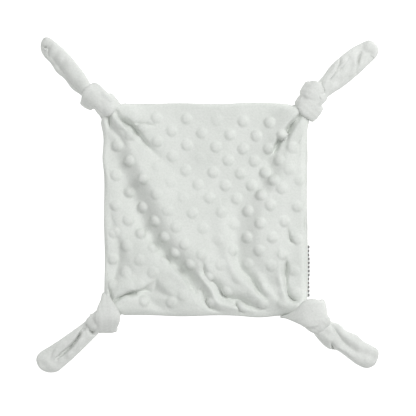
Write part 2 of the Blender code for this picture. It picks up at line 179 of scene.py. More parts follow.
def makeLamps():
    # each disc is turned to face the middle of the blanket
    for name, lamp in lamps.items():
        data = bpy.data.lights.new(name, "AREA")
        data.shape = "DISK"
        data.size = lamp["size"]
        data.energy = lamp["power"]
        data.color = lamp["tint"]
        holder = bpy.data.objects.new(name, data)
        holder.location = lamp["place"]
        holder.rotation_euler = (-Vector(lamp["place"])).to_track_quat("-Z", "Y").to_euler()
        bpy.context.scene.collection.objects.link(holder)


def makeSky():
    # even white light from all round, and colours shown with no film curve
    world = bpy.data.worlds.new("studio")
    world.use_nodes = True
    background = world.node_tree.nodes["Background"]
    background.inputs["Color"].default_value = (1.0, 1.0, 1.0, 1.0)
    background.inputs["Strength"].default_value = view["skyLight"]
    bpy.context.scene.world = world
    bpy.context.scene.view_settings.view_transform = "Standard"


# Materials

def hexColour(code):
    # sRGB hex to linear: the lowest values by a straight line, the others by a power
    value = np.array([int(code[k:k + 2], 16) for k in (1, 3, 5)]) / 255.0
    linear = np.where(value <= 0.04045, value / 12.92, ((value + 0.055) / 1.055) ** 2.4)
    return (*[float(c) for c in linear], 1.0)


def newMaterial(name):
    # a material with its node tree and its one shader
    made = bpy.data.materials.new(name)
    made.use_nodes = True
    tree = made.node_tree
    shader = tree.nodes["Principled BSDF"]
    return made, tree, shader


def setInputs(tree, node, inputs):
    # inputs by name or number, each a value or a socket to link from
    for key, value in inputs.items():
        if isinstance(value, bpy.types.NodeSocket):
            tree.links.new(value, node.inputs[key])
        else:
            node.inputs[key].default_value = value


def addNode(tree, kind, settings=None, inputs=None):
    # one node with its settings by name and its inputs
    node = tree.nodes.new(kind)
    for key, value in (settings or {}).items():
        setattr(node, key, value)
    setInputs(tree, node, inputs or {})
    return node


def bandScale(spacing, turnsPerUnit):
    # scale of a wave texture whose bands lie this many millimetres apart: a full turn, divided by
    # the radians that it turns in each unit and by the spacing
    return 2 * math.pi / (turnsPerUnit * spacing * mm)


# radians that a wave texture turns in each unit along an axis, by the way that its bands run
bandTurns = dict(straight=20.0, diagonal=10.0)

plush = dict(  # sizes in millimetres
    tuftSize=1.6, tuftDetail=5.0, tuftRoughness=0.62,
    patchSize=22.0, patchDetail=2.0, patchRoughness=0.5, patchShare=0.35,
    darkAt=0.32, lightAt=0.62,  # the noise's values where the colour is all dark and all light
    bumpStrength=0.55,
    roughness=0.95, ior=1.45, specular=0.18, sheenRoughness=0.45, sheenTint="#f6f8f4",
    kinds=dict(
        plushDimpled=dict(light="#dfe2de", dark="#d2d6d1", sheen=0.35, pileDepth=0.35),
        plushSmooth=dict(light="#dddfdc", dark="#cfd2ce", sheen=0.15, pileDepth=0.30),
    ),
)


def plushMaterial(name):
    # knitted polyester plush, cut to a short pile and brushed: matt, with a pale sheen at grazing
    # angles and small tufts that lean different ways. The tufts are drawn about three times
    # as coarse as real pile so that they show.
    kind = plush["kinds"][name]
    made, tree, shader = newMaterial(name)
    coords = addNode(tree, "ShaderNodeTexCoord")
    tufts, patches = (addNode(tree, "ShaderNodeTexNoise", dict(noise_dimensions="3D"), {
        "Vector": coords.outputs["Object"], "Scale": 1.0 / (plush[part + "Size"] * mm),
        "Detail": plush[part + "Detail"], "Roughness": plush[part + "Roughness"],
    }) for part in ("tuft", "patch"))
    both = addNode(tree, "ShaderNodeMix", dict(data_type="FLOAT"),
                   {0: plush["patchShare"], 2: tufts.outputs["Fac"], 3: patches.outputs["Fac"]})
    ramp = addNode(tree, "ShaderNodeValToRGB", None, {"Fac": both.outputs[0]})
    for stop, tone in zip(ramp.color_ramp.elements, ("dark", "light")):
        stop.position = plush[tone + "At"]
        stop.color = hexColour(kind[tone])
    bump = addNode(tree, "ShaderNodeBump", None, {
        "Strength": plush["bumpStrength"], "Distance": kind["pileDepth"] * mm,
        "Height": tufts.outputs["Fac"],
    })
    setInputs(tree, shader, {
        "Base Color": ramp.outputs["Color"], "Normal": bump.outputs["Normal"],
        "Roughness": plush["roughness"], "IOR": plush["ior"], "Specular IOR Level": plush["specular"],
        "Sheen Weight": kind["sheen"], "Sheen Roughness": plush["sheenRoughness"],
        "Sheen Tint": hexColour(plush["sheenTint"]),
    })
    return made


thread = dict(
    dark="#bcc1ba", light="#d7dbd5", roughness=0.7,
    twistSpacing=0.9, unevenness=0.5,  # the spacing in millimetres
)


def threadMaterial():
    # twisted polyester sewing thread: matt, with a faint slanting twist
    made, tree, shader = newMaterial("threadTwisted")
    coords = addNode(tree, "ShaderNodeTexCoord")
    twist = addNode(tree, "ShaderNodeTexWave", dict(wave_type="BANDS", bands_direction="DIAGONAL"), {
        "Vector": coords.outputs["Object"], "Distortion": thread["unevenness"],
        "Scale": bandScale(thread["twistSpacing"], bandTurns["diagonal"]),
    })
    ramp = addNode(tree, "ShaderNodeValToRGB", None, {"Fac": twist.outputs["Fac"]})
    for stop, tone in zip(ramp.color_ramp.elements, ("dark", "light")):
        stop.color = hexColour(thread[tone])
    setInputs(tree, shader, {"Base Color": ramp.outputs["Color"], "Roughness": thread["roughness"]})
    return made


satin = dict(
    ground="#e9eae6", ink="#4a4d4d", roughness=0.42,
    dashGap=0.14,      # bare share of a dash's stretch at each of its ends
    stripeMiddle=0.5, stripeHalf=0.48,  # shares of the ribbon's drop on each side of its fold
    weaveSpacing=0.349, weaveDepth=0.1, weaveStrength=0.3,  # spacing and depth in millimetres
)


def satinMaterial():
    # woven polyester satin ribbon: close crosswise floats give a soft gloss across the weave;
    # a plain dashed stripe is woven down the middle
    made, tree, shader = newMaterial("satinWoven")
    uv = addNode(tree, "ShaderNodeUVMap", dict(uv_map="ribbon"))
    parts = addNode(tree, "ShaderNodeSeparateXYZ", None, {0: uv.outputs["UV"]})
    # the map's X grows by 1 for each dash: folded back at its half, it tells how near an end is
    dashes = addNode(tree, "ShaderNodeMath", dict(operation="PINGPONG"), {0: parts.outputs["X"], 1: 0.5})
    onDash = addNode(tree, "ShaderNodeMath", dict(operation="GREATER_THAN"),
                     {0: dashes.outputs[0], 1: satin["dashGap"]})
    fromFold = addNode(tree, "ShaderNodeMath", dict(operation="ABSOLUTE"), {0: parts.outputs["Y"]})
    onStripe = addNode(tree, "ShaderNodeMath", dict(operation="COMPARE"),
                       {0: fromFold.outputs[0], 1: satin["stripeMiddle"], 2: satin["stripeHalf"]})
    ink = addNode(tree, "ShaderNodeMath", dict(operation="MULTIPLY"),
                  {0: onDash.outputs[0], 1: onStripe.outputs[0]})
    coords = addNode(tree, "ShaderNodeTexCoord")
    weave = addNode(tree, "ShaderNodeTexWave", dict(wave_type="BANDS", bands_direction="Y"), {
        "Vector": coords.outputs["Object"],
        "Scale": bandScale(satin["weaveSpacing"], bandTurns["straight"]),
    })
    colour = addNode(tree, "ShaderNodeMix", dict(data_type="RGBA"),
                     {0: ink.outputs[0], 6: hexColour(satin["ground"]), 7: hexColour(satin["ink"])})
    bump = addNode(tree, "ShaderNodeBump", None, {
        "Strength": satin["weaveStrength"], "Distance": satin["weaveDepth"] * mm,
        "Height": weave.outputs["Fac"],
    })
    setInputs(tree, shader, {
        "Base Color": colour.outputs[2], "Normal": bump.outputs["Normal"], "Roughness": satin["roughness"],
    })
    return made


card = dict(colour="#cccccc", roughness=0.9, glow=0.8, half=3.0)  # half the card's side, in metres


def cardMaterial():
    # matt white card, which glows a little so that it stays as pale as the photograph's ground
    made, tree, shader = newMaterial("cardWhite")
    setInputs(tree, shader, {
        "Base Color": hexColour(card["colour"]), "Roughness": card["roughness"],
        "Emission Color": (1.0, 1.0, 1.0, 1.0), "Emission Strength": card["glow"],
    })
    return made


def makeFloor():
    # one flat square under the blanket
    mesh = bpy.data.meshes.new("floor")
    half = card["half"]
    mesh.from_pydata([(-half, -half, 0), (half, -half, 0), (half, half, 0), (-half, half, 0)],
                     [], [(0, 1, 2, 3)])
    floor = bpy.data.objects.new("floor", mesh)
    mesh.materials.append(cardMaterial())
    bpy.context.scene.collection.objects.link(floor)


# Meshes

def makeMesh(name, points, faces, finish, normals=None):
    # a smooth mesh from points in millimetres and faces that all have as many corners
    mesh = bpy.data.meshes.new(name)
    points = np.asarray(points, float) * mm
    faces = np.asarray(faces, np.int32)
    mesh.vertices.add(len(points))
    mesh.vertices.foreach_set("co", points.astype(np.float32).ravel())
    mesh.loops.add(faces.size)
    mesh.loops.foreach_set("vertex_index", faces.ravel())
    mesh.polygons.add(len(faces))
    mesh.polygons.foreach_set("loop_start", np.arange(0, faces.size, faces.shape[1], dtype=np.int32))
    mesh.update(calc_edges=True)
    mesh.validate()
    mesh.shade_smooth()
    if normals is not None:
        mesh.normals_split_custom_set_from_vertices(normals.astype(np.float32))
    mesh.materials.append(finish)
    made = bpy.data.objects.new(name, mesh)
    bpy.context.scene.collection.objects.link(made)
    return made


def gridNormals(grid):
    # upward normals of a grid of points: the cross product of its slopes both ways
    return unit(np.cross(np.gradient(grid, axis=0), np.gradient(grid, axis=1)))


def shellBlock(name, upper, lower, upperNormals, lowerNormals, keep, finish):
    # closes the kept cells of two facing grids into one shell, with walls round its outline
    nx, ny = upper.shape[:2]
    index = np.arange(nx * ny).reshape(nx, ny)
    i, j = np.nonzero(keep)
    a, b, c, d = index[i, j], index[i + 1, j], index[i + 1, j + 1], index[i, j + 1]
    far = nx * ny
    faces = [np.stack([a, b, c, d], 1), np.stack([a, d, c, b], 1) + far]
    padded = np.pad(keep, 1)
    inside = padded[1:-1, 1:-1]
    for shiftI, shiftJ, first, second in ((0, -1, a, b), (1, 0, b, c), (0, 1, c, d), (-1, 0, d, a)):
        neighbour = np.roll(padded, (-shiftI, -shiftJ), axis=(0, 1))[1:-1, 1:-1]
        bare = (inside & ~neighbour)[i, j]
        faces.append(np.stack([first[bare], first[bare] + far, second[bare] + far, second[bare]], 1))
    faces = np.concatenate(faces)
    used = np.unique(faces)
    place = np.full(2 * far, -1)
    place[used] = np.arange(len(used))
    points = np.concatenate([upper.reshape(-1, 3), lower.reshape(-1, 3)])[used]
    normals = np.concatenate([upperNormals.reshape(-1, 3), lowerNormals.reshape(-1, 3)])[used]
    return makeMesh(name, points, place[faces], finish, normals)


# Panels: the front is laid over the back, and both run into the four knots

panel = dict(
    halfWidth=91.5,
    halfHeight=95.0,
    step=0.85,             # cell of the grids
    clothThick=1.3,
    seam=dict(left=6.2, right=7.0, top=6.0, bottom=6.0),  # height of the seam along each side
    cutCells=37,           # cells along each side of a corner piece
    gathered=1.15,         # side of the cloth gathered into a corner piece, as a share of the piece's own
    flare=13.5,            # how far in from the corner's tip the sides start to draw in
    neckHalf=9.6,          # half width of the gathered cloth in the knot's mouth
    neckIn=10.2,           # how far in from the corner's tip that neck starts
    tipLeast=0.3,          # least half width of the square at its very tip
    spreadMost=1.1,        # how far the cloth may spread across the neck, as a share of its half width
    bend=(9.0, 6.0),       # cloth bends this far before and past each hinge
    bendByLabel=(2.0, 9.0),  # the same for the corner beside the label, whose cloth stays still there
    sideWave=dict(size=0.45, seed=3, length=60.0),  # unevenness of the side edges
    endWave=dict(size=0.4, seed=4, length=55.0),    # and of the top and bottom edges
    edgePower=6,           # higher keeps that unevenness nearer the edge
    spill=[  # place, shift and reach, in the photograph's pixels: where the edges stand out or draw in
        ((104, 121), (-3.5, -1.0), 12), ((306, 118), (2.5, -1.5), 9), ((180, 313), (0, 1.2), 30),
        ((260, 315), (0, 2.6), 18), ((104, 158), (-1.5, 0), 12), ((294, 100), (1.8, 2.2), 6),
    ],
)
front = dict(
    inset=dict(left=0.3, right=0.6, top=0.1, bottom=0.0),  # how far its edges lie inside the square's
    height=7.2,            # of its top, away from folds
    mouth=dict(height=11.0, reach=30.0),    # it rises to this towards each knot
    surfaceWave=dict(size=0.35, seed=8, length=38.0),
    foldFade=5.5,          # folds fade out over this far from the edges
    low=3.6,               # creases go little below this height,
    pastLow=0.15,          # by this share of what they would
    edgeRoll=2.6,          # radius of the turned edge
    underside=3.0,         # the least height of its inner face
)
back = dict(
    out=dict(left=0.5, right=0.1, bottom=0.9, top=0.6),  # how far its edges stand out past the square's
    turn=172,              # how far round its edge turns, in degrees
    low=0.25,              # height of its underside
    # it rises to this towards each knot, and keeps this share of its turned edge there
    mouth=dict(height=3.6, rollShare=0.4, reach=34.0),
)


def spillEdges(x, y):
    # each place moves by the shift of every spill, times a bell of its distance from it
    moved = np.stack([x, y], -1)
    for place, shift, reach in panel["spill"]:
        away = np.linalg.norm(np.stack([x, y], -1) - toMm(place), axis=-1) / (reach * photo["mmPerPixel"])
        step = np.array([shift[0], -shift[1]]) * photo["mmPerPixel"]
        moved = moved + step * np.exp(-away ** 2)[..., None]
    return moved[..., 0], moved[..., 1]


def drawIn(x, y):
    # corners of the square drawn in to necks: near each corner's diagonal the half width
    # falls from the square's own to the neck's
    newX, newY = x.copy(), y.copy()
    for corner in corners.values():
        sideX, sideY = np.sign(corner["neck"][:2])
        fromX = panel["halfWidth"] - x * sideX
        fromY = panel["halfHeight"] - y * sideY
        inward = (fromX + fromY) / math.sqrt(2)
        across = (fromX - fromY) / math.sqrt(2)
        flare = panel["flare"]
        tip = panel["neckIn"] - panel["neckHalf"]
        moved = tip + (flare - tip) * np.clip(inward, 0, None) / flare
        t = np.clip((moved - panel["neckIn"]) / (flare - panel["neckIn"]), 0.0, 1.0)
        rounded = np.sqrt(np.maximum(panel["neckHalf"] ** 2 - (moved - panel["neckIn"]) ** 2, 0.0))
        halfAcross = np.where(moved > panel["neckIn"],
                              panel["neckHalf"] + (flare - panel["neckHalf"]) * smoothStep(t), rounded)
        spread = across / np.maximum(inward, panel["tipLeast"])
        spread = np.clip(spread, -panel["spreadMost"], panel["spreadMost"]) * halfAcross
        near = inward < flare
        newX = np.where(near, sideX * (panel["halfWidth"] - (moved + spread) / math.sqrt(2)), newX)
        newY = np.where(near, sideY * (panel["halfHeight"] - (moved - spread) / math.sqrt(2)), newY)
    return newX, newY


def wavyEdges(x, y, u, v):
    # a slow wave across each edge, times a high power of the place's share from middle to edge
    side, end, power = panel["sideWave"], panel["endWave"], panel["edgePower"]
    x = x + side["size"] * waves(x, y, side["seed"], side["length"]) * np.abs(u) ** power
    y = y + end["size"] * waves(x, y, end["seed"], end["length"]) * np.abs(v) ** power
    return x, y


# Folds of the front. Each line runs through (across, down, height): places in the photograph's
# pixels, heights in millimetres. left and right are the slopes' widths beside the line as it runs,
# given at even steps along it, lean pushes the crest over to its left, and shut does so with a
# slit's two banks but not with its bottom, so that one bank hangs over it
folds = dict(
    roundness=1.8,         # of a stroke that gives none of its own
    pushReach=3.0,         # a push fades over this reach,
    pushHeight=6.0,        # and is as given where the line is this high
    joining=3,             # power of the soft maximum
    pointsPerRun=5,        # points on each line from one given place to the next
)
ridges = dict(
    mainFold=dict(
        line=[(113, 115, 1.5), (121, 130, 3.5), (131, 150, 6), (142, 170, 7.5), (153, 188, 8),
              (160, 203, 8), (166, 218, 8), (173, 232, 8), (183, 246, 7.5), (196, 257, 7),
              (209, 268, 5.5), (225, 281, 4), (243, 291, 4), (262, 299, 3.5), (284, 307, 1.8)],
        left=[5, 14, 22, 24, 20, 14, 8], right=[5, 10, 13, 15, 17, 10, 8],
    ),
    pleat=dict(
        line=[(114, 115, 1), (120, 124, 3.5), (129, 134, 4), (139, 144, 2.5), (150, 157, 1)],
        left=[2.4], right=[2.6], lean=0.5,
    ),
    upperFlap=dict(
        line=[(122, 113, 1.5), (129, 117, 3), (136, 122, 4.5), (142, 129.5, 4.5), (149, 139, 3.5),
              (158, 149, 2), (170, 160, 0.8)],
        left=[18], right=[4, 5, 7], lean=-1.4,
    ),
    leftSlope=dict(
        line=[(113, 186, 0.5), (124, 212, 1.5), (134, 228, 2), (143, 240, 3), (153, 251, 4),
              (164, 262, 4.5), (175, 273, 4.5), (184, 284, 4.5), (191, 295, 3.5), (198, 307, 1.5)],
        left=[8, 7, 4.5, 2.6, 2.6], right=[18, 26, 26, 20, 8], lean=1.0,
    ),
    leftPlateau=dict(
        line=[(118, 228, 1.5), (126, 244, 3), (132, 262, 3), (140, 276, 2)],
        left=[16], right=[7],
    ),
    lowerLeft=dict(
        line=[(114, 299, 2), (121, 292, 5), (130, 288, 6.5), (141, 285, 5), (154, 277, 2.5)],
        left=[12], right=[2.4, 2.6, 6], lean=-2.2,
    ),
    lowPlateau=dict(
        line=[(158, 277, 1.5), (163, 284, 5), (169, 290, 5.5), (178, 296, 4.5), (190, 302, 2)],
        left=[15], right=[6.5],
    ),
    bottomStrip=dict(
        line=[(118, 303, 2), (134, 299, 3.5), (152, 299, 4), (172, 300, 4), (190, 302, 3), (204, 307, 1)],
        left=[7], right=[12],
    ),
    upperRight=dict(
        line=[(300, 110, 3), (293, 117, 5), (285, 126, 5.5), (278, 135, 5), (271, 146, 3), (262, 160, 1),
              (252, 176, 0)],
        left=[3, 4], right=[12], lean=0.5,
    ),
    besideSlit=dict(
        line=[(304, 117, 3), (297, 126, 4), (291, 138, 4), (287, 152, 3), (284, 166, 2)],
        left=[9], right=[3],
    ),
    upperGather=dict(
        line=[(300, 106, 2), (288, 109, 3), (279, 114, 2), (270, 119, 0.5)],
        left=[2.6], right=[2.6],
    ),
    secondGather=dict(line=[(301, 111, 1.5), (294, 114, 2.5), (287, 121, 1.5)], left=[2], right=[2]),
    middleRight=dict(
        line=[(293, 152, 4), (286, 164, 6), (277, 184, 7), (267, 204, 7.5), (261, 222, 7.5),
              (260, 240, 6.5), (264, 256, 5), (273, 272, 3)],
        left=[26], right=[13, 13, 13, 11],
    ),
    rightStrip=dict(
        line=[(300, 222, 1), (300, 240, 2), (300, 262, 2.5), (300, 282, 2.5), (302, 297, 2)],
        left=[6], right=[9],
    ),
    rightFold=dict(
        line=[(283, 215, 1), (281, 232, 2.5), (279, 250, 3.5), (279, 268, 4.8), (281, 284, 5.2),
              (287, 298, 5.2), (297, 304, 4)],
        left=[3.4], right=[8],
    ),
    middleFold=dict(
        line=[(222, 214, 1.5), (224, 232, 3.5), (227, 250, 5), (232, 266, 5.5), (240, 279, 5),
              (252, 290, 4), (266, 300, 3)],
        left=[9], right=[12, 9, 6],
    ),
    lowRidge=dict(
        line=[(195, 266, 2), (200, 276, 4.5), (207, 284, 5), (212, 292, 5), (215, 300, 4.5),
              (221, 307, 3.5), (231, 311, 1.5)],
        left=[4.5], right=[4.5, 3.4],
    ),
    lowerRight=dict(
        line=[(257, 272, 1.5), (263, 286, 3.5), (273, 298, 4.2), (287, 306, 3.4), (300, 304, 3.4)],
        left=[5], right=[5, 7],
    ),
    lowestRidge=dict(
        line=[(214, 300, 3), (224, 305, 4.5), (237, 308, 3.5), (252, 311, 2)],
        left=[4.5], right=[4],
    ),
)
creases = dict(
    pleatValley=dict(
        line=[(117, 114, 2.5), (120.5, 119.5, 5.5), (126, 123, 7), (132, 126, 6), (136.5, 131.5, 5.5),
              (140.5, 137, 3), (145, 143, 4.5), (150, 149, 2), (162, 160, 1), (180, 177, 0.4)],
        left=[2.2, 2.8, 3.5, 5], right=[1.6, 1.8, 2.4, 3], roundness=1.3, shut=-0.8,
    ),
    flapLine=dict(
        line=[(133, 122, 1.5), (140, 123.2, 3), (147, 124, 2.6), (154, 125.5, 0.8)],
        left=[1.3], right=[1.3], roundness=1.2,
    ),
    cornerPinch=dict(
        line=[(109, 115, 5), (109, 120, 7), (110, 126, 5), (112, 131, 1)],
        left=[1.5], right=[1.5], roundness=1.2,
    ),
    pleatFoot=dict(
        line=[(110, 122, 1.5), (114, 130, 2.5), (120, 137, 2.5), (125, 145, 1.5)],
        left=[3.5], right=[3.5], roundness=1.5,
    ),
    leftValley=dict(
        line=[(112, 146, 1.0), (117, 160, 1.6), (124, 174, 2.4), (131, 190, 3.5), (138, 205, 4),
              (144, 220, 4.5), (153, 238, 6), (163, 253, 6.5), (174, 264, 7), (184, 273, 8),
              (189, 281, 7.5), (194, 290, 7), (197, 293, 2)],
        left=[8, 9, 9, 7, 4], right=[10, 11, 8, 3, 2.2], roundness=1.6,
    ),
    leftGroove=dict(
        line=[(110, 210, 1), (113, 228, 1.6), (118, 242, 2.0), (118.5, 257, 2.2), (116, 272, 2.8),
              (113, 284, 2.6), (112, 292, 1.5)],
        left=[3.6], right=[5.5], roundness=1.5,
    ),
    leftEdgeDent=dict(
        line=[(107, 256, 0.6), (108, 264, 1.2), (112, 270, 0.4)],
        left=[1.6], right=[1.6], roundness=1.4,
    ),
    lowerLeftFoot=dict(
        line=[(137, 287, 1.5), (142, 293, 4), (149, 300, 4.6), (157, 305, 3.6), (164, 309, 1.5)],
        left=[11], right=[5], roundness=1.7,
    ),
    cornerSlit=dict(
        line=[(108, 282, 2), (109, 288, 4), (111, 296, 5.5), (112, 301, 3)],
        left=[1.6], right=[1.6], roundness=1.2,
    ),
    lowerLeftSlit=dict(
        line=[(113, 302, 4), (118, 297, 6), (125, 293, 10), (132, 292, 10), (138, 293, 4), (145, 290, 4),
              (152, 292, 3), (156, 286, 2.5), (156, 279, 1)],
        left=[1.8, 2.6, 2.6, 3.5], right=[2.2], roundness=1.3, shut=-0.6,
    ),
    lowLine=dict(
        line=[(194, 290, 3), (198, 290.5, 4), (202, 291, 4.5), (204.5, 297, 5), (207, 304, 4.5),
              (212, 308.5, 3), (220, 312, 1.5)],
        left=[2.4, 3, 3], right=[1.8], roundness=1.4,
    ),
    longValley=dict(
        line=[(203, 263, 2), (204, 271, 4.5), (208, 278, 4.5), (213, 281.5, 4.5), (217.5, 286, 5),
              (220, 291, 5.5), (224.5, 296, 5.5), (231, 299, 5), (239, 300, 5), (246, 304, 5.5),
              (254, 307, 4), (265, 309, 1.5)],
        left=[1.8, 2.2, 3, 4, 3], right=[1.8], roundness=1.3,
    ),
    lowerNotch=dict(
        line=[(234.5, 300, 3), (236.5, 305, 4.5), (240, 310, 4), (243, 314, 3)],
        left=[1.6], right=[1.6], roundness=1.2,
    ),
    upperRightSlit=dict(
        line=[(301, 113, 1), (296, 119, 3), (291.5, 123.5, 7), (288, 129, 9.5), (286, 133.5, 6)],
        left=[2.4, 2.6, 1.8], right=[1.5], roundness=1.2,
    ),
    secondSlit=dict(
        line=[(281.5, 136, 3), (279.5, 139.5, 8), (277.5, 144, 10), (275.5, 149, 8.5), (272.5, 154, 2)],
        left=[1.7], right=[1.6], roundness=1.3,
    ),
    softValley=dict(
        line=[(272, 152, 1.5), (263, 165, 2), (255, 179, 2), (245, 192, 2), (238, 206, 2),
              (234, 225, 2.2), (234.5, 244, 3), (237, 258, 5.5), (240.5, 268, 6.5), (248, 276, 6.5),
              (254, 283, 6.5), (258, 290, 6), (264, 297, 3)],
        left=[8, 11, 11, 5, 2.8, 2.4], right=[10, 10, 10, 5, 2.4, 2.2], roundness=1.6,
    ),
    rightPatch=dict(
        line=[(265, 155, 1), (269, 164, 3), (274, 172, 3), (280, 178, 1)],
        left=[9], right=[6],
    ),
    lowerPatch=dict(
        line=[(256, 170, 1), (260, 179, 2.6), (265, 187, 2.6), (271, 191, 1)],
        left=[7], right=[6],
    ),
    rightStroke=dict(
        line=[(288, 230, 1.5), (289, 236, 4), (290.5, 240, 4), (294, 243, 1)],
        left=[1.4], right=[1.4], roundness=1.2,
    ),
    rightSlit=dict(
        line=[(286.5, 261, 1.5), (286.5, 266, 6), (286, 273, 8), (286, 279, 4.5), (286.5, 286, 4),
              (287, 291, 5), (289, 296.5, 7), (293, 300, 8), (297, 301, 3)],
        left=[1.5], right=[1.5], roundness=1.2,
    ),
)


def bell(distance, left, right, roundness):
    # 1 on the line, falling to nothing over the slope's width on each side: a roundness near 2
    # gives a soft crest, one near 1 the sharp line where two rolls of cloth meet
    width = np.where(distance > 0, left, right)
    return np.exp(-(np.abs(distance) / width) ** roundness)


def strokeLine(stroke):
    # the stroke's line as smooth points of place, height and the widths of its two slopes
    points = np.array(stroke["line"], float)
    share = np.linspace(0, 1, len(points))
    widths = [np.interp(share, np.linspace(0, 1, len(stroke[side])), stroke[side])
              for side in ("left", "right")]
    return smoothLine(np.column_stack([toMm(points[:, :2]), points[:, 2], *widths]), folds["pointsPerRun"])


def strokeRise(x, y, stroke):
    # the height of one stroke at each place, its line's own times a bell across it, with how far it
    # pushes sideways: a narrower bell times the lean, and times the shut where the bank has risen
    distance, carried, alongX, alongY = nearLine(x, y, strokeLine(stroke))
    share = bell(distance, carried[..., 1], carried[..., 2], stroke.get("roundness", folds["roundness"]))
    near = np.exp(-(distance / folds["pushReach"]) ** 2) * np.abs(carried[..., 0]) / folds["pushHeight"]
    push = near * (stroke.get("lean", 0) + stroke.get("shut", 0) * (1 - share))
    return carried[..., 0] * share, -push * alongY, push * alongX


def foldShape(x, y):
    # how far the ridges rise and how deep the creases cut, each by a soft maximum: the root of the
    # sum of powers, with the sum of all their pushes
    power = folds["joining"]
    moveX, moveY = np.zeros(x.shape), np.zeros(x.shape)
    heights = []
    for strokes in (ridges, creases):
        total = np.zeros(x.shape)
        for stroke in strokes.values():
            rise, pushX, pushY = strokeRise(x, y, stroke)
            total += rise ** power
            moveX += pushX
            moveY += pushY
        heights.append(total ** (1 / power))
    return *heights, moveX, moveY


# Dimple dots: a lattice with two even steps, drawn out of true by the folds
dots = dict(
    radius=5.5, height=1.85,
    flatness=2.6, shoulder=1.1,  # powers of the dot's profile
    slopeGain=4.0,         # how much taller a dot stands on a slope
    first=(212.5, 144.5), downRight=(12.4, 13.4), downLeft=(-14.0, 12.6),  # in the photograph's pixels
    most=18,               # steps each way from the first dot
    fromEdge=5.5,          # least distance of a dot's middle from the edges
    edgeFade=5.0,          # dots flatten over this far from the edges
    pulls=[  # place, shift and reach, in the photograph's pixels
        ((288, 199), (-7, -11), 26), ((194, 235), (-9, 9), 26), ((229, 301), (12, 5), 35),
        ((162, 312), (9, -10), 26), ((239, 145), (4, 3), 50), ((119, 155), (-3, -9), 35),
        ((298, 264), (-4, 6), 25), ((161, 117), (-5, 1), 25), ((180, 273), (-4.5, 1.5), 9),
        ((136, 311), (5, -7), 9),
    ],
    pressed=[  # place, share of the height lost (or gained, below 0) and reach, in the photograph's pixels
        ((126, 110), 1.0, 13), ((172, 194), 0.6, 22), ((153, 248), 0.6, 8), ((165, 261), 0.7, 8),
        ((175, 275), 0.7, 8), ((145, 275), 0.35, 30), ((298, 165), 0.5, 28), ((222, 238), 0.4, 28),
        ((280, 285), 0.5, 26), ((290, 125), 1.0, 9), ((245, 285), 0.6, 24), ((213, 118), 0.6, 12),
        ((206, 292), 0.7, 16), ((121, 299), 1.0, 9), ((201, 158), 0.7, 6), ((278, 281), 0.8, 8),
        ((142, 179), -0.9, 7), ((129, 192), -0.9, 7), ((156, 293), 0.9, 6), ((168, 283), 0.7, 6),
        ((142, 151), 0.85, 7), ((158, 166), 0.5, 7),
    ],
)


def dotPlaces():
    # place and height of each dot: the first place plus whole steps both ways, moved by each pull and
    # lowered by each press times a bell of its distance
    steps = np.arange(-dots["most"], dots["most"] + 1)
    i, j = np.meshgrid(steps, steps, indexing="ij")
    places = [dots["first"][k] + dots["downRight"][k] * i + dots["downLeft"][k] * j for k in (0, 1)]
    across, down = places[0].copy(), places[1].copy()
    for (px, py), (shiftAcross, shiftDown), reach in dots["pulls"]:
        near = np.exp(-((places[0] - px) ** 2 + (places[1] - py) ** 2) / reach ** 2)
        across += shiftAcross * near
        down += shiftDown * near
    found = toMm(np.stack([across, down], -1)).reshape(-1, 2)
    inside = np.abs(found[:, 0]) < panel["halfWidth"] - dots["fromEdge"]
    inside &= np.abs(found[:, 1]) < panel["halfHeight"] - dots["fromEdge"]
    found = found[inside]
    tall = np.full(len(found), dots["height"])
    for place, lost, reach in dots["pressed"]:
        away = np.linalg.norm(found - toMm(place), axis=1) / (reach * photo["mmPerPixel"])
        tall *= 1 - lost * np.exp(-away ** 2)
    return np.column_stack([found, tall])


def dotRise(x, y, grid, normals):
    # height of the dots over the front: 1 less the distance's share of the radius to one power, all
    # to another, and the tallest wins where two meet
    rise = np.zeros(x.shape)
    for across, up, tall in dotPlaces():
        nearest = np.argmin((x - across) ** 2 + (y - up) ** 2)
        middle = grid.reshape(-1, 3)[nearest]
        away = np.linalg.norm(grid - middle, axis=-1)
        tall *= 1 + dots["slopeGain"] * (1 - normals.reshape(-1, 3)[nearest, 2])
        share = np.clip(away / dots["radius"], 0, 1)
        rise = np.maximum(rise, tall * (1 - share ** dots["flatness"]) ** dots["shoulder"])
    return rise


def gridShares():
    # each grid place as a share of the way from the middle to the edge, -1 to 1 both ways
    cellsX = int(round(2 * panel["halfWidth"] / panel["step"]))
    cellsY = int(round(2 * panel["halfHeight"] / panel["step"]))
    return np.meshgrid(np.linspace(-1, 1, cellsX + 1), np.linspace(-1, 1, cellsY + 1), indexing="ij")


def bySide(share, values, low, high):
    # the value of the side that each place is nearer to
    return np.where(share < 0, values[low], values[high])


